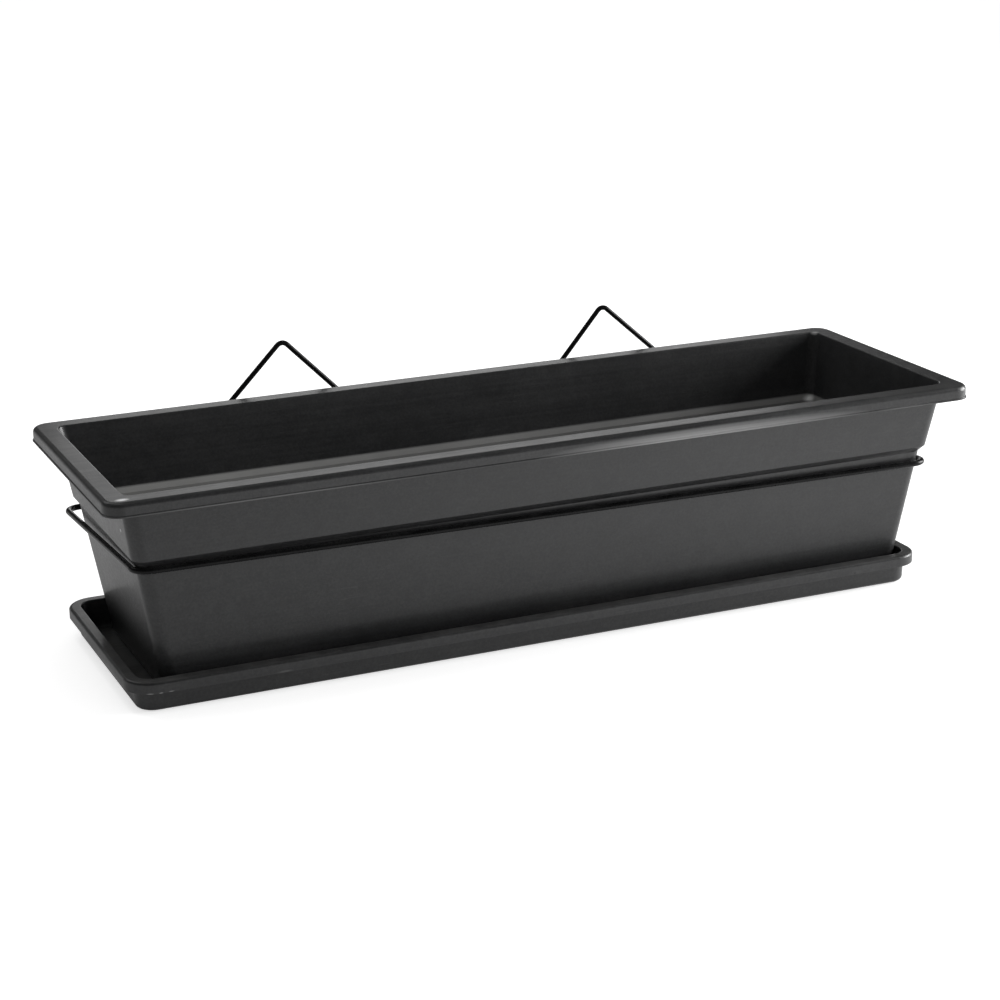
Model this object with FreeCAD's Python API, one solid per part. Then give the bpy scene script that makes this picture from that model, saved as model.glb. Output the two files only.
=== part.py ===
import FreeCAD, Part
import math
import os

# Window box planter: a long plastic trough that stands in its saucer, with a coated wire
# support round it for hanging the trough on a wall or a railing.
#
# Millimetres. X runs along the length, -Y is the front, +Z is up. The origin is the middle
# of the saucer's underside, on the surface that the planter stands on.

Vector = FreeCAD.Vector
ORIGIN = Vector(0, 0, 0)
X_AXIS = Vector(1, 0, 0)
Y_AXIS = Vector(0, 1, 0)

# ---------------------------------------------------------------- trough, driving sizes
RIM_LENGTH = 600.0            # over the bead at the foot of the lip's skirt
RIM_WIDTH = 197.0
RIM_CORNER_RADIUS = 12.5      # in plan
TROUGH_HEIGHT = 138.0         # underside of the floor to the top of the lip
TROUGH_WALL = 2.2
TROUGH_FLOOR = 2.6
WALL_CORNER_RADIUS = 9.0      # vertical corners of the walls, outside
LIP_OVERHANG = 14.2           # bead to wall, level with the skirt's foot
LIP_THICKNESS = 2.2
LIP_ROLL_RADIUS = 3.2         # outer top edge of the lip
LIP_INNER_RADIUS = 1.0        # inner top edge of the lip
SKIRT_HEIGHT = 9.0
SKIRT_THICKNESS = 1.8
BEAD_HEIGHT = 1.3             # small bead round the skirt's foot
BEAD_STANDOUT = 0.6
BAND_HEIGHT = 35.7            # upper band of the wall, from the skirt's foot to the shoulder
BAND_TAPER = 5.8              # the band leans in by this much on each side
SHOULDER_STEP = 3.2           # step in from the band to the lower body
SHOULDER_DROP = 4.1
END_TAPER = 14.6              # lean of the lower body's end walls
SIDE_TAPER = 9.8              # lean of its front and back walls
SHOULDER_EDGE_RADIUS = 1.0
FOOT_EDGE_RADIUS = 4.0        # round the floor's outer edge
FLOOR_CORNER_RADIUS = 3.0     # between floor and walls, inside
PAD_RADIUS = 8.0              # low pads that the trough stands on
PAD_HEIGHT = 1.2
PAD_INSET = 22.0              # from the floor's edge to the pads' centres
PAD_COLUMNS = 3
PAD_SINK = 0.5                # pads run up into the floor by this much
DRAIN_RADIUS = 4.5
DRAIN_COLUMNS = 4
DRAIN_INSET = 75.0            # from the floor's ends to the first holes
DRAIN_ROW_SPACING = 56.0

# ---------------------------------------------------------------- saucer, driving sizes
SAUCER_HEIGHT = 21.2
SAUCER_WALL = 1.9
SAUCER_FLOOR = 1.8
SAUCER_END_ROOM = 8.0         # between the trough's end and the rim, with the trough centred
SAUCER_SIDE_ROOM = 9.4
SAUCER_RIM_LEDGE = 7.8        # flat top of the rim, inner edge to outer face
SAUCER_RIM_CORNER_RADIUS = 18.0
SAUCER_RIM_ROLL_RADIUS = 2.0
SAUCER_SKIRT_HEIGHT = 7.3
SAUCER_SKIRT_THICKNESS = 1.6
SAUCER_DRAFT = 0.6            # lean of the saucer's walls
SAUCER_FOOT_RADIUS = 3.0
SAUCER_FLOOR_CORNER_RADIUS = 2.6
SAUCER_INNER_RADIUS = 0.7     # inner top edge of the rim
TROUGH_END_GAP = 0.4          # the trough stands pushed along, this far from the right end

# ---------------------------------------------------------------- wire support, driving sizes
RING_WIRE_RADIUS = 2.0
RING_CORNER_RADIUS = 11.0     # centre line of the wire
WIRE_FIT_GAP = 0.3            # between the ring and the trough's walls
RING_CORNER_DROP = 1.9        # from the shoulder's foot down to the ring's highest corner
SUPPORT_PITCH = 3.5           # degrees; the ring lies a little lower at the back
SUPPORT_ROLL = 0.6            # degrees; and a little lower at the right
HANGER_WIRE_RADIUS = 1.75
HANGER_SPACING = 242.5        # between the two apexes
HANGER_SHOW = 30.4            # apex above the top of the lip
HANGER_HALF_ANGLE = 45.0      # between each leg and the upright
HANGER_BEND_RADIUS = 5.0      # centre line, at the apex
HANGER_TAIL = 2.0             # each leg runs this far past the ring's wire
WELD_SINK = 0.15              # the hangers' wires are pressed this far into the ring's wire
LEFT_HANGER_LEAN = 0.0        # degrees, about the apex
RIGHT_HANGER_LEAN = 3.5
RIGHT_HANGER_RAISE = 1.2      # the right apex is this much higher than the left one

CUT_MARGIN = 1.0              # cutting solids run this far past the faces that they cut

# ---------------------------------------------------------------- trough, worked-out sizes
skirt_foot = TROUGH_HEIGHT - SKIRT_HEIGHT
band_foot = skirt_foot - BAND_HEIGHT
shoulder_foot = band_foot - SHOULDER_DROP
rim_half_length = RIM_LENGTH / 2
rim_half_width = RIM_WIDTH / 2
band_half_length = rim_half_length - LIP_OVERHANG - BAND_TAPER
band_half_width = rim_half_width - LIP_OVERHANG - BAND_TAPER
lower_half_length = band_half_length - SHOULDER_STEP
lower_half_width = band_half_width - SHOULDER_STEP
floor_half_length = lower_half_length - END_TAPER
floor_half_width = lower_half_width - SIDE_TAPER
band_slope = BAND_TAPER / BAND_HEIGHT


def band_outset(height):
    """How much further out the band's wall is at a height than at the band's foot."""
    return band_slope * (height - band_foot)


def lower_half_sizes(height):
    """Outer half length and half width of the lower body at a height above its floor."""
    share = height / shoulder_foot
    half_length = floor_half_length + END_TAPER * share
    half_width = floor_half_width + SIDE_TAPER * share
    return half_length, half_width


# ---------------------------------------------------------------- saucer, worked-out sizes
trough_base = SAUCER_FLOOR + PAD_HEIGHT
trough_at_rim = lower_half_sizes(SAUCER_HEIGHT - trough_base)
saucer_mouth_half_length = trough_at_rim[0] + SAUCER_END_ROOM
saucer_mouth_half_width = trough_at_rim[1] + SAUCER_SIDE_ROOM
saucer_rim_half_length = saucer_mouth_half_length + SAUCER_RIM_LEDGE
saucer_rim_half_width = saucer_mouth_half_width + SAUCER_RIM_LEDGE
trough_shift = SAUCER_END_ROOM - TROUGH_END_GAP

# ---------------------------------------------------------------- support, worked-out sizes
pitch = math.radians(SUPPORT_PITCH)
roll = math.radians(SUPPORT_ROLL)
ring_half_length = lower_half_length + WIRE_FIT_GAP + RING_WIRE_RADIUS
ring_front = -(lower_half_width + WIRE_FIT_GAP + RING_WIRE_RADIUS)
ring_back = rim_half_width + RING_WIRE_RADIUS
ring_half_width = (ring_back - ring_front) / 2 / math.cos(pitch)
ring_rise_to_corner = ring_half_width * math.sin(pitch) + ring_half_length * math.sin(roll)
ring_centre = Vector(
    trough_shift,
    (ring_back + ring_front) / 2,
    trough_base + shoulder_foot - RING_CORNER_DROP - ring_rise_to_corner,
)
ring_back_height = ring_centre.z - ring_half_width * math.sin(pitch)
hanger_rise = (trough_base + TROUGH_HEIGHT + HANGER_SHOW - ring_back_height) / math.cos(pitch)
hanger_plane = ring_half_width + RING_WIRE_RADIUS + HANGER_WIRE_RADIUS - WELD_SINK


# ---------------------------------------------------------------- shared shapes
def rounded_outline(half_length, half_width, radius, height):
    """A rectangle with rounded corners about the Z axis, as one closed wire."""
    centres = [
        (half_length - radius, half_width - radius),
        (radius - half_length, half_width - radius),
        (radius - half_length, radius - half_width),
        (half_length - radius, radius - half_width),
    ]

    def arc_point(corner, degrees):
        angle = math.radians(90 * corner + degrees)
        x, y = centres[corner]
        return Vector(x + radius * math.cos(angle), y + radius * math.sin(angle), height)

    edges = []
    for corner in range(4):
        arc = Part.Arc(arc_point(corner, 0), arc_point(corner, 45), arc_point(corner, 90))
        edges.append(arc.toShape())
        edges.append(Part.makeLine(arc_point(corner, 90), arc_point((corner + 1) % 4, 0)))
    return Part.Wire(edges)


def stacked_solid(sections):
    """Straight-sided solid through (half_length, half_width, radius, height) outlines."""
    return Part.makeLoft([rounded_outline(*section) for section in sections], True, True)


def level_edges(shape, height):
    """The edges of a shape that lie flat at a height."""
    found = []
    for edge in shape.Edges:
        box = edge.BoundBox
        if abs(box.ZMin - height) < 0.01 and abs(box.ZMax - height) < 0.01:
            found.append(edge)
    return found


def inner_level_edges(shape, height, half_length):
    """Flat edges at a height that lie no further out than a half length."""
    return [
        edge for edge in level_edges(shape, height)
        if max(abs(edge.BoundBox.XMin), abs(edge.BoundBox.XMax)) < half_length
    ]


def spread(count, half_span):
    """Evenly spaced places from -half_span to half_span."""
    step = 2 * half_span / (count - 1)
    return [step * index - half_span for index in range(count)]


def swept_wire(path, wire_radius, start, direction):
    """Round wire along a path of tangent lines and arcs."""
    profile = Part.Wire([Part.makeCircle(wire_radius, start, direction)])
    solid = path.makePipeShell([profile], True, True)
    return Part.Solid(solid) if solid.ShapeType == "Shell" else solid


# ---------------------------------------------------------------- trough
def trough_outside():
    """Outer form of the walls and floor, up to the top of the lip, with no lip."""
    top_outset = band_outset(TROUGH_HEIGHT)
    radius = WALL_CORNER_RADIUS
    body = stacked_solid([
        (floor_half_length, floor_half_width, radius, 0),
        (lower_half_length, lower_half_width, radius, shoulder_foot),
        (band_half_length, band_half_width, radius, band_foot),
        (band_half_length + top_outset, band_half_width + top_outset, radius, TROUGH_HEIGHT),
    ])
    body = body.makeFillet(SHOULDER_EDGE_RADIUS, level_edges(body, band_foot))
    body = body.makeFillet(SHOULDER_EDGE_RADIUS, level_edges(body, shoulder_foot))
    return body.makeFillet(FOOT_EDGE_RADIUS, level_edges(body, 0))


def trough_cavity():
    """The space inside the walls, open through the top of the lip."""
    radius = WALL_CORNER_RADIUS - TROUGH_WALL
    shoulder_turn = math.atan2(SHOULDER_STEP, SHOULDER_DROP)
    lift = TROUGH_WALL * math.tan(shoulder_turn / 2)
    top = TROUGH_HEIGHT + CUT_MARGIN
    top_inset = TROUGH_WALL - band_outset(top)
    floor_sizes = lower_half_sizes(TROUGH_FLOOR)
    cavity = stacked_solid([
        (floor_sizes[0] - TROUGH_WALL, floor_sizes[1] - TROUGH_WALL, radius, TROUGH_FLOOR),
        (lower_half_length - TROUGH_WALL, lower_half_width - TROUGH_WALL, radius, shoulder_foot + lift),
        (band_half_length - TROUGH_WALL, band_half_width - TROUGH_WALL, radius, band_foot + lift),
        (band_half_length - top_inset, band_half_width - top_inset, radius, top),
    ])
    cavity = cavity.makeFillet(SHOULDER_EDGE_RADIUS, level_edges(cavity, band_foot + lift))
    return cavity.makeFillet(FLOOR_CORNER_RADIUS, level_edges(cavity, TROUGH_FLOOR))


def trough_lip(body):
    """Flat lip with a rolled outer edge, a skirt and a bead, hollow underneath."""
    face_length = rim_half_length - BEAD_STANDOUT
    face_width = rim_half_width - BEAD_STANDOUT
    face_radius = RIM_CORNER_RADIUS - BEAD_STANDOUT
    bead_top = skirt_foot + BEAD_HEIGHT
    lip = stacked_solid([
        (rim_half_length, rim_half_width, RIM_CORNER_RADIUS, skirt_foot),
        (rim_half_length, rim_half_width, RIM_CORNER_RADIUS, bead_top - BEAD_STANDOUT),
        (face_length, face_width, face_radius, bead_top),
        (face_length, face_width, face_radius, TROUGH_HEIGHT),
    ])
    lip = lip.makeFillet(LIP_ROLL_RADIUS, level_edges(lip, TROUGH_HEIGHT))
    hollow_length = face_length - SKIRT_THICKNESS
    hollow_width = face_width - SKIRT_THICKNESS
    hollow_radius = face_radius - SKIRT_THICKNESS
    hollow = stacked_solid([
        (hollow_length, hollow_width, hollow_radius, skirt_foot - CUT_MARGIN),
        (hollow_length, hollow_width, hollow_radius, TROUGH_HEIGHT - LIP_THICKNESS),
    ])
    return lip.cut(hollow.cut(body))


def drain_holes():
    """Two rows of round holes through the floor."""
    holes = []
    for x in spread(DRAIN_COLUMNS, floor_half_length - DRAIN_INSET):
        for y in spread(2, DRAIN_ROW_SPACING / 2):
            start = Vector(x, y, -CUT_MARGIN)
            holes.append(Part.makeCylinder(DRAIN_RADIUS, TROUGH_FLOOR + 2 * CUT_MARGIN, start))
    return Part.makeCompound(holes)


def floor_pads():
    """Low round pads under the floor, which let water reach the saucer."""
    pads = []
    for x in spread(PAD_COLUMNS, floor_half_length - PAD_INSET):
        for y in spread(2, floor_half_width - PAD_INSET):
            start = Vector(x, y, -PAD_HEIGHT)
            pads.append(Part.makeCylinder(PAD_RADIUS, PAD_HEIGHT + PAD_SINK, start))
    return pads


def make_trough():
    body = trough_outside()
    trough = body.fuse([trough_lip(body)] + floor_pads())
    trough = trough.cut(trough_cavity()).cut(drain_holes()).removeSplitter()
    mouth = inner_level_edges(trough, TROUGH_HEIGHT, rim_half_length - LIP_OVERHANG)
    trough = trough.makeFillet(LIP_INNER_RADIUS, mouth)
    trough.translate(Vector(trough_shift, 0, trough_base))
    return trough


# ---------------------------------------------------------------- saucer
def make_saucer():
    wall_length = saucer_mouth_half_length + SAUCER_WALL
    wall_width = saucer_mouth_half_width + SAUCER_WALL
    wall_radius = SAUCER_RIM_CORNER_RADIUS - SAUCER_RIM_LEDGE + SAUCER_WALL
    body = stacked_solid([
        (wall_length - SAUCER_DRAFT, wall_width - SAUCER_DRAFT, wall_radius, 0),
        (wall_length, wall_width, wall_radius, SAUCER_HEIGHT),
    ])
    body = body.makeFillet(SAUCER_FOOT_RADIUS, level_edges(body, 0))

    skirt_bottom = SAUCER_HEIGHT - SAUCER_SKIRT_HEIGHT
    rim_sizes = (saucer_rim_half_length, saucer_rim_half_width, SAUCER_RIM_CORNER_RADIUS)
    rim = stacked_solid([rim_sizes + (skirt_bottom,), rim_sizes + (SAUCER_HEIGHT,)])
    rim = rim.makeFillet(SAUCER_RIM_ROLL_RADIUS, level_edges(rim, SAUCER_HEIGHT))
    hollow_sizes = tuple(size - SAUCER_SKIRT_THICKNESS for size in rim_sizes)
    hollow = stacked_solid([
        hollow_sizes + (skirt_bottom - CUT_MARGIN,),
        hollow_sizes + (SAUCER_HEIGHT - SAUCER_WALL,),
    ])
    rim = rim.cut(hollow.cut(body))

    draft_at_floor = SAUCER_DRAFT * (1 - SAUCER_FLOOR / SAUCER_HEIGHT)
    draft_above = SAUCER_DRAFT * CUT_MARGIN / SAUCER_HEIGHT
    mouth_radius = wall_radius - SAUCER_WALL
    cavity = stacked_solid([
        (saucer_mouth_half_length - draft_at_floor, saucer_mouth_half_width - draft_at_floor,
         mouth_radius, SAUCER_FLOOR),
        (saucer_mouth_half_length + draft_above, saucer_mouth_half_width + draft_above,
         mouth_radius, SAUCER_HEIGHT + CUT_MARGIN),
    ])
    cavity = cavity.makeFillet(SAUCER_FLOOR_CORNER_RADIUS, level_edges(cavity, SAUCER_FLOOR))

    saucer = body.fuse(rim).cut(cavity).removeSplitter()
    mouth = inner_level_edges(saucer, SAUCER_HEIGHT, saucer_mouth_half_length + SAUCER_WALL)
    return saucer.makeFillet(SAUCER_INNER_RADIUS, mouth)


# ---------------------------------------------------------------- wire support
def place_support(shape):
    """Tilt a piece of the support, drawn about the ring's centre, and put it round the trough."""
    shape.rotate(ORIGIN, X_AXIS, -SUPPORT_PITCH)
    shape.rotate(ORIGIN, Y_AXIS, SUPPORT_ROLL)
    shape.translate(ring_centre)
    return shape


def flat_ring():
    """The ring in its own level frame: one wire, closed by a butt weld behind."""
    outline = rounded_outline(ring_half_length, ring_half_width, RING_CORNER_RADIUS, 0)
    corner_start = Vector(ring_half_length, ring_half_width - RING_CORNER_RADIUS, 0)
    return swept_wire(outline, RING_WIRE_RADIUS, corner_start, Y_AXIS)


def hanger(apex_x, rise, lean):
    """An upside-down V of wire behind the ring, welded across the ring's back wire."""
    half_angle = math.radians(HANGER_HALF_ANGLE)
    peak_above_crown = HANGER_BEND_RADIUS / math.sin(half_angle) - HANGER_BEND_RADIUS
    peak = Vector(apex_x, hanger_plane, rise + peak_above_crown)
    depth = peak.z + RING_WIRE_RADIUS + HANGER_TAIL

    def along_leg(side, distance):
        """A point on the line of the left (-1) or right (1) leg, or between them (0)."""
        angle = math.radians(side * HANGER_HALF_ANGLE + lean)
        return peak + Vector(math.sin(angle), 0, -math.cos(angle)) * distance

    def foot(side):
        return along_leg(side, depth / math.cos(math.radians(side * HANGER_HALF_ANGLE + lean)))

    bend_start = HANGER_BEND_RADIUS / math.tan(half_angle)
    left_bend = along_leg(-1, bend_start)
    right_bend = along_leg(1, bend_start)
    path = Part.Wire([
        Part.makeLine(foot(-1), left_bend),
        Part.Arc(left_bend, along_leg(0, peak_above_crown), right_bend).toShape(),
        Part.makeLine(right_bend, foot(1)),
    ])
    return swept_wire(path, HANGER_WIRE_RADIUS, foot(-1), peak - foot(-1))


def make_support():
    ring = flat_ring()
    left = hanger(-HANGER_SPACING / 2, hanger_rise, LEFT_HANGER_LEAN).cut(ring)
    right_rise = hanger_rise + RIGHT_HANGER_RAISE
    right = hanger(HANGER_SPACING / 2, right_rise, RIGHT_HANGER_LEAN).cut(ring)
    return {
        "support_ring": place_support(ring),
        "left_hanger": place_support(left),
        "right_hanger": place_support(right),
    }


# ---------------------------------------------------------------- the planter
parts = {"saucer": make_saucer(), "trough": make_trough()}
parts.update(make_support())

os.makedirs("parts", exist_ok=True)
for name, shape in parts.items():
    shape.exportStep("parts/" + name + ".step")
    solids = len(shape.Solids)
    box = shape.BoundBox
    print(name, solids, "solid", "valid" if shape.isValid() else "NOT VALID",
          "volume", round(shape.Volume), "x", round(box.XMin, 1), round(box.XMax, 1),
          "y", round(box.YMin, 1), round(box.YMax, 1), "z", round(box.ZMin, 1), round(box.ZMax, 1))
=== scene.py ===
import math

import bpy
from mathutils import Matrix, Vector


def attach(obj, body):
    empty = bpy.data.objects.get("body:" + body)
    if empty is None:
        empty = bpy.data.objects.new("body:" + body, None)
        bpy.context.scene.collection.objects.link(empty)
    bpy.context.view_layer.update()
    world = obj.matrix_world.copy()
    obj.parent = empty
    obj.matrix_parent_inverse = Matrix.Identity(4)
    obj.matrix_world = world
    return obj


# A window box planter of moulded plastic in its saucer, with a coated wire support round it.
# Metres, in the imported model's frame: X along the length, -Y the front, +Z up.

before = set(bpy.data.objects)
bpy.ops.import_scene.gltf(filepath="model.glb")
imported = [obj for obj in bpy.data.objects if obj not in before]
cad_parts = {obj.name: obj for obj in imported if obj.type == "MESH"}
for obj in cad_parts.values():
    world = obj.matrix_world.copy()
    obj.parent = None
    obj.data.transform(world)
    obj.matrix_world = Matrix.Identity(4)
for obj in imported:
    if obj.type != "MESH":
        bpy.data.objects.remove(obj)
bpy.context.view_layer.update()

# ---------------------------------------------------------------- camera, from the photograph
CAMERA_AZIMUTH = -23.464      # degrees, towards the planter's left end
CAMERA_ELEVATION = 17.63
CAMERA_ROLL = -0.911
CAMERA_DISTANCE = 1.6016      # from the point that it looks at
CAMERA_TARGET = Vector((0.00904, 0.02162, 0.06796))
CAMERA_LENS = 84.61           # mm
CAMERA_SENSOR = 36            # mm

# ---------------------------------------------------------------- studio
FLOOR_SIZE = 9.0
FLOOR_GAP = 0.0002            # the floor lies this far under the saucer
FLOOR_SHADE = 0.80
FLOOR_GLOW = 0.60             # seen by the camera only, so that the floor looks white
FLOOR_SHEEN = 0.84            # seen in reflections only, brightest to the right of the middle
SHEEN_MIDDLE = 0.25           # X of its brightest stretch
SHEEN_REACH = 0.58            # it fades out this far to the left and right of it
SHEEN_NEAR = 0.09             # Y where it starts to grow, beside the planter
SHEEN_FAR = 0.26              # Y where it is full
SHEEN_NEAR_SHARE = 0.45
WORLD_LEVEL = 0.50            # light that the surroundings throw on the object
HORIZON_LEVEL = 0.40          # brightness of the horizon in reflections
HORIZON_TOP = 0.16            # reflected surroundings fade out up to this height of a direction
LAMP_DISTANCE = 2.0
LAMP_AIM = Vector((0, 0, 0.1))
SOFTBOX = 1.1                 # side of the large lamps
SMALL_BOX = 0.3
LAMPS = [                     # name, azimuth and elevation in degrees, side, watts
    ("right", 80, 12, SOFTBOX, 52),
    ("back_right", 160, 12, SOFTBOX, 5.5),
    ("back_left", 215, 45, SOFTBOX, 5),
    ("overhead_left", -95, 75, SMALL_BOX, 2.5),
]

# ---------------------------------------------------------------- plastic
PLASTIC_DARK = (0.0140, 0.0143, 0.0150)
PLASTIC_LIGHT = (0.0280, 0.0283, 0.0290)
PLASTIC_WORN = (0.050, 0.050, 0.051)
PLASTIC_IOR = 1.49
# pale colour of dust on faces that look up; on the plastic it also paints light on their tops
DUST_AND_TOP_LIGHT = (0.070, 0.070, 0.068)
# strength of that dust and painted top light on the trough and on the saucer, whose rim it
# lightens most
TROUGH_DUST_AND_TOP_LIGHT = 0.5
SAUCER_DUST_AND_TOP_LIGHT = 1.0
# colour of the painted highlight along the inner step
STEP_HIGHLIGHT_COLOUR = (0.27, 0.27, 0.262)
STEP_HIGHLIGHT_LEVEL = 0.0945           # step inside the trough, along which a pale line of painted highlight runs
STEP_HIGHLIGHT_BELOW = (0.013, 0.003)   # it grows between these distances below the level
STEP_HIGHLIGHT_ABOVE = (0.0014, 0.0026)  # and ends between these distances above it
STEP_HIGHLIGHT_LEFT, STEP_HIGHLIGHT_RIGHT = -0.30, 0.28
STEP_HIGHLIGHT_RIGHT_SHARE = 0.5        # strength that is left at the right end
EDGE_WEAR_RADIUS = 0.0012
EDGE_WEAR = 0.35
SCRATCH_WEAR = 0.45
SCRATCH_TURNS = ((0.05, 3.1), (-0.22, 7.7))   # angle from X, and a shift of the pattern
GRAIN_DEPTH = 0.0002
COAT = {"Coat Weight": 0.18, "Coat Roughness": 0.16, "Coat IOR": 1.5}

# Noise scales, in periods per metre.
MOTTLE_SCALE = 11
CLOUD_SCALE = 90
SPECKLE_SCALE = 620
GRAIN_SCALE = 1500
DUST_AND_TOP_LIGHT_SCALE = 55
FLOW_STRETCH = (5, 430, 430)      # lines that the melt left along X
SCRATCH_STRETCH = (9, 520, 520)

# ---------------------------------------------------------------- wire coating
COATING_DARK = (0.0025, 0.0025, 0.0027)
COATING_LIGHT = (0.0060, 0.0060, 0.0063)
COATING_WORN = (0.035, 0.034, 0.032)
COATING_IOR = 1.5
COATING_GLOSS = 0.16
PEEL_SCALE = 900
PEEL_DEPTH = 0.0002
COATING_TONE_SCALE = 60
RUB_SCALE = 210

# ---------------------------------------------------------------- welds
WELD_RADII = (0.002125, 0.00136, 0.00102)     # of a bead beside a hanger's leg
WELD_OFFSET = 0.0016          # beads stand this far above and below the ring's wire
WELD_STAGGER = 0.0003         # the upper one sits this far right and the lower one left
BUTT_WELD_X = 0.0076
BUTT_WELD_RADII = (0.0013, 0.00225, 0.00225)
BEAD_RINGS, BEAD_SIDES = 8, 14
RING_WIRE_DEPTH = 0.0045      # points this close to the ring's back belong to its back wire
WIRE_END_LENGTH = 0.002       # stretch that gives the middle of a wire's end
LEG_END_HEIGHT = 0.012        # stretch that gives the middle of a hanger leg's end
APEX_RISE = 0.0003            # the legs' straight lines meet this far above the bent apex

# ---------------------------------------------------------------- marks, painted highlights and painted light on the plastic
# Each is its middle, its radii along X, Y and Z, its tone and its strength.
TROUGH_MARKS_AND_PAINTED_LIGHT = [
    # painted highlight along a stretch of the lip's skirt, and thin painted highlights along its
    # foot to the right and to the left
    ((0.105, -0.0985, 0.1328), (0.125, 0.005, 0.0058), 0.34, 0.9),
    ((0.255, -0.0985, 0.1325), (0.032, 0.004, 0.0010), 0.14, 0.6),
    ((-0.190, -0.0985, 0.1322), (0.110, 0.004, 0.0010), 0.13, 0.8),
    # painted highlights on the lip: front left corner, left side and back right corner
    ((-0.2802, -0.0905, 0.1402), (0.0052, 0.0030, 0.0024), 0.95, 1.0),
    ((-0.2895, -0.0760, 0.1392), (0.0014, 0.0150, 0.0016), 0.28, 0.6),
    ((0.2908, 0.0815, 0.1406), (0.0040, 0.0030, 0.0020), 0.40, 0.7),
    # painted highlight on the corner of the inner step
    ((0.2817, 0.0712, 0.0940), (0.0060, 0.0050, 0.0030), 0.50, 0.7),
    # chip in the left end wall
    ((-0.2751, -0.0615, 0.1128), (0.0016, 0.0016, 0.0013), 0.60, 0.95),
    # pale patch above the wire at the right
    ((0.2673, -0.0765, 0.0905), (0.0042, 0.0040, 0.0046), 0.045, 0.7),
]
SAUCER_MARKS_AND_PAINTED_LIGHT = [
    # painted light on the left end face of the skirt, and a scuff on its front
    ((-0.2810, -0.0350, 0.0135), (0.0040, 0.0450, 0.0036), 0.17, 0.75),
    ((-0.1834, -0.0847, 0.0144), (0.0060, 0.0030, 0.0011), 0.09, 0.7),
    # pale patch with a pit in it
    ((0.2290, -0.0847, 0.0155), (0.0050, 0.0030, 0.0018), 0.05, 0.6),
    ((0.2267, -0.0847, 0.0151), (0.0013, 0.0020, 0.0011), 0.004, 1.0),
    # painted glints along the skirt's foot at the front left corner
    ((-0.2690, -0.0835, 0.0142), (0.0026, 0.0040, 0.0005), 0.25, 0.8),
    ((-0.2625, -0.0847, 0.0142), (0.0016, 0.0030, 0.0005), 0.25, 0.8),
    ((-0.2560, -0.0847, 0.0142), (0.0022, 0.0030, 0.0005), 0.20, 0.8),
]


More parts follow.
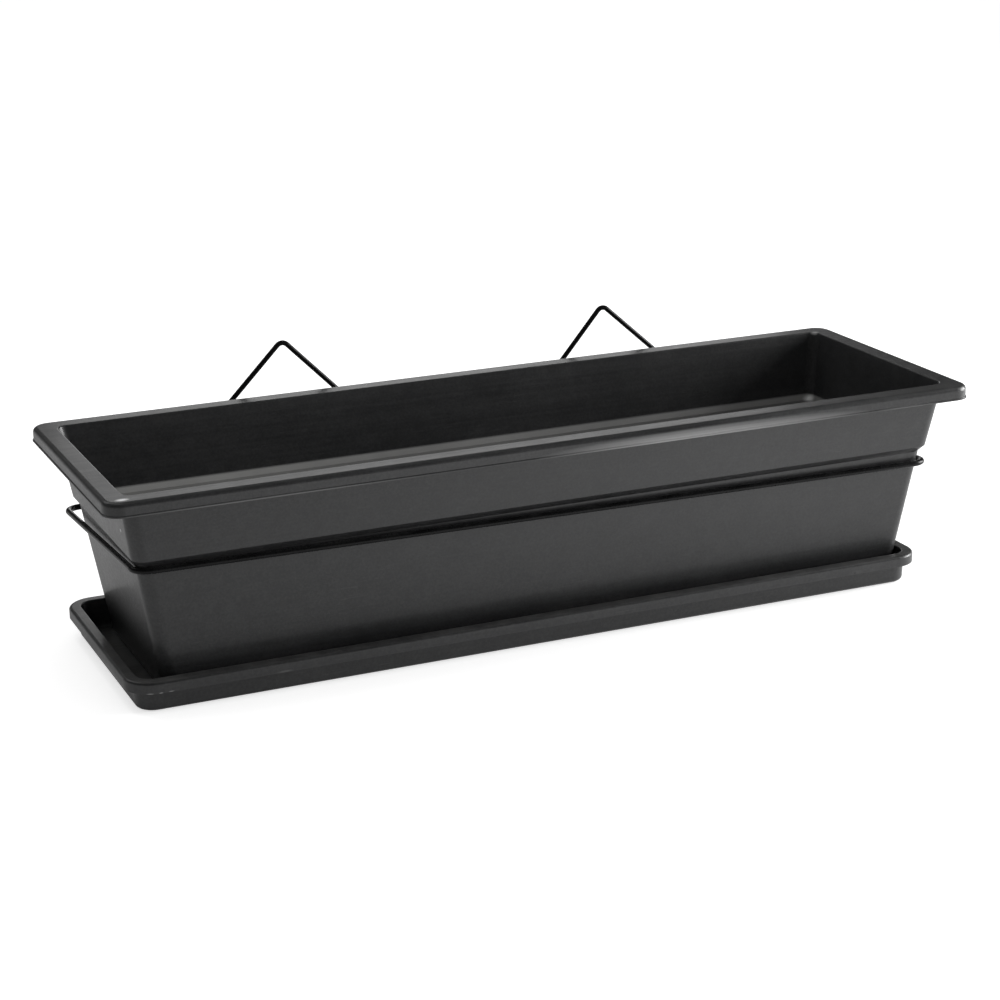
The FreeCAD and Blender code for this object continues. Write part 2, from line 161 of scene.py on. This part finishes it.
class Nodes:
    """Adds nodes to a node tree and links them by name."""

    def __init__(self, tree):
        self.tree = tree
        self.tree.nodes.clear()

    def set_input(self, socket, value):
        if isinstance(value, bpy.types.NodeSocket):
            self.tree.links.new(value, socket)
        else:
            socket.default_value = value

    def add(self, kind, inputs=None, **settings):
        node = self.tree.nodes.new(kind)
        for key, value in settings.items():
            setattr(node, key, value)
        for key, value in (inputs or {}).items():
            self.set_input(node.inputs[key], value)
        return node

    def math(self, operation, *values):
        node = self.add("ShaderNodeMath", dict(enumerate(values)), operation=operation)
        return node.outputs[0]

    def vector_math(self, operation, *values):
        return self.add("ShaderNodeVectorMath", dict(enumerate(values)), operation=operation)

    def multiply(self, first, second):
        return self.math("MULTIPLY", first, second)

    def total(self, first, *others):
        for other in others:
            first = self.math("ADD", first, other)
        return first

    def noise(self, vector, scale, detail=2.0, roughness=0.5):
        inputs = {"Vector": vector, "Scale": scale, "Detail": detail, "Roughness": roughness}
        return self.add("ShaderNodeTexNoise", inputs).outputs[0]

    def mapping(self, vector, location=(0, 0, 0), rotation=(0, 0, 0), scale=(1, 1, 1)):
        inputs = {"Vector": vector, "Location": location, "Rotation": rotation, "Scale": scale}
        return self.add("ShaderNodeMapping", inputs).outputs[0]

    def ramp(self, value, low, high, to_low=0.0, to_high=1.0):
        inputs = {"Value": value, "From Min": low, "From Max": high,
                  "To Min": to_low, "To Max": to_high}
        return self.add("ShaderNodeMapRange", inputs).outputs[0]

    def mix_colour(self, factor, first, second):
        node = self.add("ShaderNodeMix", {0: factor}, data_type="RGBA")
        for key, value in ((6, first), (7, second)):
            self.set_input(node.inputs[key], (*value, 1) if isinstance(value, tuple) else value)
        return node.outputs[2]

    def place(self):
        return self.add("ShaderNodeTexCoord").outputs["Object"]

    def normal(self):
        return self.add("ShaderNodeNewGeometry").outputs["Normal"]

    def split(self, vector):
        return self.add("ShaderNodeSeparateXYZ", {0: vector}).outputs

    def facing_up(self):
        """1 on faces that look up, 0 on walls and below."""
        return self.ramp(self.split(self.normal())["Z"], 0.55, 0.98)

    def step_highlight_mask(self, place, level):
        """Painted highlight: 1 on inner walls at a level, fading out below it and towards the
        right.
        """
        parts = self.split(place)
        sideways = self.vector_math("MULTIPLY", place, (1, 1, 0)).outputs[0]
        outward = self.vector_math("DOT_PRODUCT", sideways, self.normal()).outputs["Value"]
        inner = self.ramp(outward, -0.005, -0.015)
        below = self.ramp(parts["Z"], level - STEP_HIGHLIGHT_BELOW[0], level - STEP_HIGHLIGHT_BELOW[1])
        above = self.ramp(parts["Z"], level + STEP_HIGHLIGHT_ABOVE[0], level + STEP_HIGHLIGHT_ABOVE[1], 1.0, 0.0)
        along = self.ramp(parts["X"], STEP_HIGHLIGHT_LEFT, STEP_HIGHLIGHT_RIGHT, 1.0, STEP_HIGHLIGHT_RIGHT_SHARE)
        return self.multiply(self.multiply(inner, self.multiply(below, above)), along)

    def edges(self, radius):
        """1 along edges that are sharper than a radius."""
        rounded = self.add("ShaderNodeBevel", {"Radius": radius}, samples=4).outputs[0]
        same = self.vector_math("DOT_PRODUCT", self.normal(), rounded).outputs["Value"]
        return self.ramp(same, 0.995, 0.90)

    def blob(self, place, centre, radii, core=0.3):
        """1 in the middle of a soft ellipsoid and 0 outside it."""
        scale = tuple(1 / radius for radius in radii)
        location = tuple(-middle / radius for middle, radius in zip(centre, radii))
        inside = self.mapping(place, location=location, scale=scale)
        reach = self.vector_math("LENGTH", inside).outputs["Value"]
        return self.ramp(reach, core, 1.0, 1.0, 0.0)

    def scratches(self, place, turn, shift):
        """Sparse thin lines that run along X, turned a little about Y and Z."""
        stretched = self.mapping(place, (shift, 0, 0), (0, turn, turn), SCRATCH_STRETCH)
        lines = self.math("SUBTRACT", self.noise(stretched, 1, 1), 0.5)
        thin = self.ramp(self.math("ABSOLUTE", lines), 0.0, 0.012, 1, 0)
        patches = self.ramp(self.noise(self.mapping(place, (0, shift, 0)), 24, 2), 0.54, 0.64)
        return self.multiply(thin, patches)


def new_material(name):
    material = bpy.data.materials.new(name)
    material.use_nodes = True
    return material, Nodes(material.node_tree)


def moulded_plastic(name, marks_and_painted_light, dust_and_top_light_level, step_highlight_level=None):
    """Grained anthracite plastic with wear, dust that also paints light on faces that look up,
    placed marks and painted highlights.
    """
    material, nodes = new_material(name)
    place = nodes.place()
    mottle = nodes.noise(place, MOTTLE_SCALE, 3, 0.6)
    cloud = nodes.noise(place, CLOUD_SCALE, 3, 0.6)
    speckle = nodes.noise(place, SPECKLE_SCALE, 2, 0.7)
    grain = nodes.noise(place, GRAIN_SCALE, 2, 0.6)
    flow = nodes.noise(nodes.mapping(place, scale=FLOW_STRETCH), 1, 3, 0.6)
    scratches = nodes.math("MAXIMUM", *(nodes.scratches(place, *turn) for turn in SCRATCH_TURNS))
    edges = nodes.edges(EDGE_WEAR_RADIUS)
    # dust on faces that look up, which also serves as painted light on their tops
    dust_and_top_light_patches = nodes.ramp(nodes.noise(place, DUST_AND_TOP_LIGHT_SCALE, 5, 0.7), 0.25, 0.8)
    dust_and_top_light = nodes.multiply(nodes.facing_up(), dust_and_top_light_patches)

    shade = nodes.total(nodes.ramp(mottle, 0.3, 0.7, 0.0, 0.45),
                        nodes.ramp(speckle, 0.3, 0.7, -0.35, 0.55),
                        nodes.ramp(cloud, 0.3, 0.7, -0.2, 0.2),
                        nodes.ramp(flow, 0.35, 0.65, -0.08, 0.22))
    shade = nodes.math("MINIMUM", nodes.math("MAXIMUM", shade, 0.0), 1.0)
    colour = nodes.mix_colour(shade, PLASTIC_DARK, PLASTIC_LIGHT)
    colour = nodes.mix_colour(nodes.multiply(dust_and_top_light, dust_and_top_light_level), colour, DUST_AND_TOP_LIGHT)
    colour = nodes.mix_colour(nodes.multiply(scratches, SCRATCH_WEAR), colour, PLASTIC_WORN)
    colour = nodes.mix_colour(nodes.multiply(edges, EDGE_WEAR), colour, PLASTIC_WORN)
    # pale line of painted highlight along the inner step
    if step_highlight_level is not None:
        step_highlight = nodes.multiply(nodes.step_highlight_mask(place, step_highlight_level),
                              nodes.ramp(mottle, 0.3, 0.7, 0.7, 1.0))
        colour = nodes.mix_colour(step_highlight, colour, STEP_HIGHLIGHT_COLOUR)
    streaks = nodes.ramp(flow, 0.3, 0.6, 0.6, 1.0)
    # real marks, painted highlights and painted light, mixed into the colour
    for centre, radii, tone, strength in marks_and_painted_light:
        spot = nodes.multiply(nodes.blob(place, centre, radii), strength)
        colour = nodes.mix_colour(nodes.multiply(spot, streaks), colour, (tone, tone, tone))

    roughness = nodes.total(nodes.ramp(mottle, 0.3, 0.7, 0.37, 0.45),
                            nodes.ramp(flow, 0.35, 0.65, -0.03, 0.04),
                            nodes.multiply(dust_and_top_light, 0.12))
    roughness = nodes.math("SUBTRACT", roughness, nodes.multiply(scratches, 0.12))
    height = nodes.total(nodes.multiply(grain, 0.6), nodes.multiply(flow, 0.5))
    height = nodes.math("SUBTRACT", height, nodes.multiply(scratches, 0.5))
    relief = {"Strength": 0.22, "Distance": GRAIN_DEPTH, "Height": height}
    bump = nodes.add("ShaderNodeBump", relief)
    shader = nodes.add("ShaderNodeBsdfPrincipled", {
        "Base Color": colour, "Roughness": roughness, "Normal": bump.outputs[0],
        "IOR": PLASTIC_IOR, **COAT,
    })
    nodes.add("ShaderNodeOutputMaterial", {0: shader.outputs[0]})
    return material


def wire_coating(name):
    """Black coating on wire: slight orange peel, rubbed spots and a little dust."""
    material, nodes = new_material(name)
    place = nodes.place()
    peel = nodes.noise(place, PEEL_SCALE, 2, 0.5)
    tone = nodes.noise(place, COATING_TONE_SCALE, 3, 0.6)
    worn = nodes.ramp(nodes.noise(place, RUB_SCALE, 4, 0.7), 0.68, 0.76)
    dust_and_top_light = nodes.multiply(nodes.facing_up(), nodes.ramp(tone, 0.4, 0.75, 0.0, 0.18))
    colour = nodes.mix_colour(nodes.ramp(tone, 0.3, 0.7), COATING_DARK, COATING_LIGHT)
    colour = nodes.mix_colour(nodes.multiply(worn, 0.5), colour, COATING_WORN)
    colour = nodes.mix_colour(dust_and_top_light, colour, DUST_AND_TOP_LIGHT)
    roughness = nodes.total(nodes.ramp(peel, 0.3, 0.7, 0.24, 0.34), nodes.multiply(worn, 0.2))
    relief = {"Strength": 0.25, "Distance": PEEL_DEPTH, "Height": peel}
    bump = nodes.add("ShaderNodeBump", relief)
    shader = nodes.add("ShaderNodeBsdfPrincipled", {
        "Base Color": colour, "Roughness": roughness, "Normal": bump.outputs[0],
        "IOR": COATING_IOR, "Specular IOR Level": COATING_GLOSS,
    })
    nodes.add("ShaderNodeOutputMaterial", {0: shader.outputs[0]})
    return material


def backward(azimuth, elevation):
    """Direction from the planter towards an azimuth, 0 the front and 90 the right end."""
    a, e = math.radians(azimuth), math.radians(elevation)
    return Vector((math.sin(a) * math.cos(e), -math.cos(a) * math.cos(e), math.sin(e)))


def make_camera():
    back = backward(CAMERA_AZIMUTH, CAMERA_ELEVATION)
    level = Vector((-back.y, back.x, 0)).normalized()
    upright = back.cross(level)
    roll = math.radians(CAMERA_ROLL)
    right = level * math.cos(roll) + upright * math.sin(roll)
    up = upright * math.cos(roll) - level * math.sin(roll)
    camera = bpy.data.objects.new("camera", bpy.data.cameras.new("camera"))
    camera.data.lens = CAMERA_LENS
    camera.data.sensor_width = CAMERA_SENSOR
    axes = Matrix((right, up, back)).transposed().to_4x4()
    camera.matrix_world = Matrix.Translation(CAMERA_TARGET + back * CAMERA_DISTANCE) @ axes
    bpy.context.scene.collection.objects.link(camera)
    bpy.context.scene.camera = camera


def make_world():
    """White where it is seen; in reflections it fades out above the horizon."""
    world = bpy.data.worlds.new("surroundings")
    world.use_nodes = True
    nodes = Nodes(world.node_tree)
    path = nodes.add("ShaderNodeLightPath").outputs
    height = nodes.split(nodes.add("ShaderNodeTexCoord").outputs["Generated"])["Z"]
    reflected = nodes.multiply(path["Is Glossy Ray"],
                               nodes.ramp(height, 0.0, HORIZON_TOP, HORIZON_LEVEL, 0.0))
    seen = nodes.math("MAXIMUM", path["Is Camera Ray"], path["Is Transmission Ray"])
    thrown = nodes.multiply(path["Is Diffuse Ray"], WORLD_LEVEL)
    strength = nodes.math("MAXIMUM", nodes.math("MAXIMUM", seen, reflected), thrown)
    look = {"Color": (1, 1, 1, 1), "Strength": strength}
    background = nodes.add("ShaderNodeBackground", look)
    nodes.add("ShaderNodeOutputWorld", {0: background.outputs[0]})
    bpy.context.scene.world = world


def floor_paper(name):
    """Pale matt paper that looks white to the camera and has a soft sheen in reflections."""
    material, nodes = new_material(name)
    diffuse = nodes.add("ShaderNodeBsdfDiffuse", {"Color": (*(FLOOR_SHADE,) * 3, 1)})
    path = nodes.add("ShaderNodeLightPath").outputs
    place = nodes.split(nodes.place())
    offset = nodes.math("ABSOLUTE", nodes.math("SUBTRACT", place["X"], SHEEN_MIDDLE))
    across = nodes.math("ABSOLUTE", place["Y"])
    sheen = nodes.multiply(nodes.ramp(offset, 0.0, SHEEN_REACH, FLOOR_SHEEN, 0.0),
                           nodes.ramp(across, SHEEN_NEAR, SHEEN_FAR, SHEEN_NEAR_SHARE, 1.0))
    glow = nodes.total(nodes.multiply(path["Is Camera Ray"], FLOOR_GLOW),
                       nodes.multiply(path["Is Glossy Ray"], sheen))
    emission = nodes.add("ShaderNodeEmission", {"Strength": glow})
    both = nodes.add("ShaderNodeAddShader", {0: diffuse.outputs[0], 1: emission.outputs[0]})
    nodes.add("ShaderNodeOutputMaterial", {0: both.outputs[0]})
    return material


def make_floor():
    half = FLOOR_SIZE / 2
    mesh = bpy.data.meshes.new("floor")
    corners = [(-half, -half, -FLOOR_GAP), (half, -half, -FLOOR_GAP),
               (half, half, -FLOOR_GAP), (-half, half, -FLOOR_GAP)]
    mesh.from_pydata(corners, [], [(0, 1, 2, 3)])
    mesh.materials.append(floor_paper("floor"))
    floor = bpy.data.objects.new("floor", mesh)
    bpy.context.scene.collection.objects.link(floor)


def make_lamp(name, azimuth, elevation, size, power):
    """A square softbox that faces the planter."""
    towards = backward(azimuth, elevation)
    lamp = bpy.data.lights.new(name, "AREA")
    lamp.size = size
    lamp.energy = power
    holder = bpy.data.objects.new(name, lamp)
    holder.location = LAMP_AIM + towards * LAMP_DISTANCE
    holder.rotation_euler = (-towards).to_track_quat("-Z", "Y").to_euler()
    holder.visible_camera = False
    bpy.context.scene.collection.objects.link(holder)


def paint(node_names, material):
    for name in node_names:
        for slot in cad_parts[name].material_slots:
            slot.material = material


# ---------------------------------------------------------------- welds of the wire support
def bead_mesh(name, radii):
    """A ball with uneven sides, from its two poles and the rings between them."""
    vertices = [Vector((0, 0, radii[2])), Vector((0, 0, -radii[2]))]
    for ring in range(1, BEAD_RINGS):
        tilt = math.pi * ring / BEAD_RINGS
        for side in range(BEAD_SIDES):
            turn = 2 * math.pi * side / BEAD_SIDES
            lump = 1 + 0.10 * math.sin(3 * turn + 2 * tilt) + 0.06 * math.sin(5 * turn - tilt)
            vertices.append(Vector((
                radii[0] * lump * math.sin(tilt) * math.cos(turn),
                radii[1] * lump * math.sin(tilt) * math.sin(turn),
                radii[2] * math.cos(tilt))))

    def at(ring, side):
        return 2 + (ring - 1) * BEAD_SIDES + side % BEAD_SIDES

    faces = []
    for side in range(BEAD_SIDES):
        faces.append((0, at(1, side), at(1, side + 1)))
        faces.append((1, at(BEAD_RINGS - 1, side + 1), at(BEAD_RINGS - 1, side)))
        for ring in range(1, BEAD_RINGS - 1):
            faces.append((at(ring, side), at(ring + 1, side),
                          at(ring + 1, side + 1), at(ring, side + 1)))
    mesh = bpy.data.meshes.new(name)
    mesh.from_pydata(vertices, [], faces)
    mesh.polygons.foreach_set("use_smooth", [True] * len(faces))
    return mesh


def lumpy_bead(name, centre, radii, material):
    """A small drop of weld metal under the coating."""
    mesh = bead_mesh(name, radii)
    mesh.materials.append(material)
    bead = bpy.data.objects.new(name, mesh)
    bead.location = centre
    bpy.context.scene.collection.objects.link(bead)
    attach(bead, "support")


def points_of(node_name):
    return [vertex.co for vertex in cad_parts[node_name].data.vertices]


def average(points):
    return sum(points, Vector()) / len(points)


def ring_back_wire():
    """Middle of the ring's back wire as a function of X, from the ring's own points."""
    points = points_of("support_ring")
    furthest = max(point.y for point in points)
    back = [point for point in points if point.y > furthest - RING_WIRE_DEPTH]
    ends = []
    for sign in (-1, 1):
        reach = max(sign * point.x for point in back)
        ends.append(average([p for p in back if sign * p.x > reach - WIRE_END_LENGTH]))

    def middle(x):
        share = (x - ends[0].x) / (ends[1].x - ends[0].x)
        return ends[0].lerp(ends[1], share)

    return middle


def leg_crossings(hanger, height):
    """Where the middle of each of a hanger's legs passes a height."""
    points = points_of(hanger)
    apex = max(points, key=lambda point: point.z)
    foot = min(point.z for point in points)
    low = [point for point in points if point.z < foot + LEG_END_HEIGHT]
    crossings = []
    for sign in (-1, 1):
        end = average([point for point in low if sign * (point.x - apex.x) > 0])
        share = (height - end.z) / (apex.z + APEX_RISE - end.z)
        crossings.append(end.lerp(apex, share))
    return crossings


def make_welds(material):
    middle = ring_back_wire()
    for hanger in ("left_hanger", "right_hanger"):
        for number, leg in enumerate(leg_crossings(hanger, middle(0).z)):
            wire = middle(leg.x)
            contact = Vector((leg.x, (wire.y + leg.y) / 2, wire.z))
            for word, side in (("below", -1), ("above", 1)):
                centre = contact + Vector((WELD_STAGGER * side, 0, WELD_OFFSET * side))
                lumpy_bead(f"{hanger}_weld_{number}_{word}", centre, WELD_RADII, material)
    lumpy_bead("ring_butt_weld", middle(BUTT_WELD_X), BUTT_WELD_RADII, material)


make_camera()
make_world()
make_floor()
for lamp_settings in LAMPS:
    make_lamp(*lamp_settings)

coating = wire_coating("wire_coating_look")
trough_look = moulded_plastic("trough_plastic_look", TROUGH_MARKS_AND_PAINTED_LIGHT, TROUGH_DUST_AND_TOP_LIGHT, STEP_HIGHLIGHT_LEVEL)
paint(["trough"], trough_look)
paint(["saucer"], moulded_plastic("saucer_plastic_look", SAUCER_MARKS_AND_PAINTED_LIGHT, SAUCER_DUST_AND_TOP_LIGHT))
paint(["support_ring", "left_hanger", "right_hanger"], coating)
make_welds(coating)

bpy.context.scene.view_settings.view_transform = "Standard"
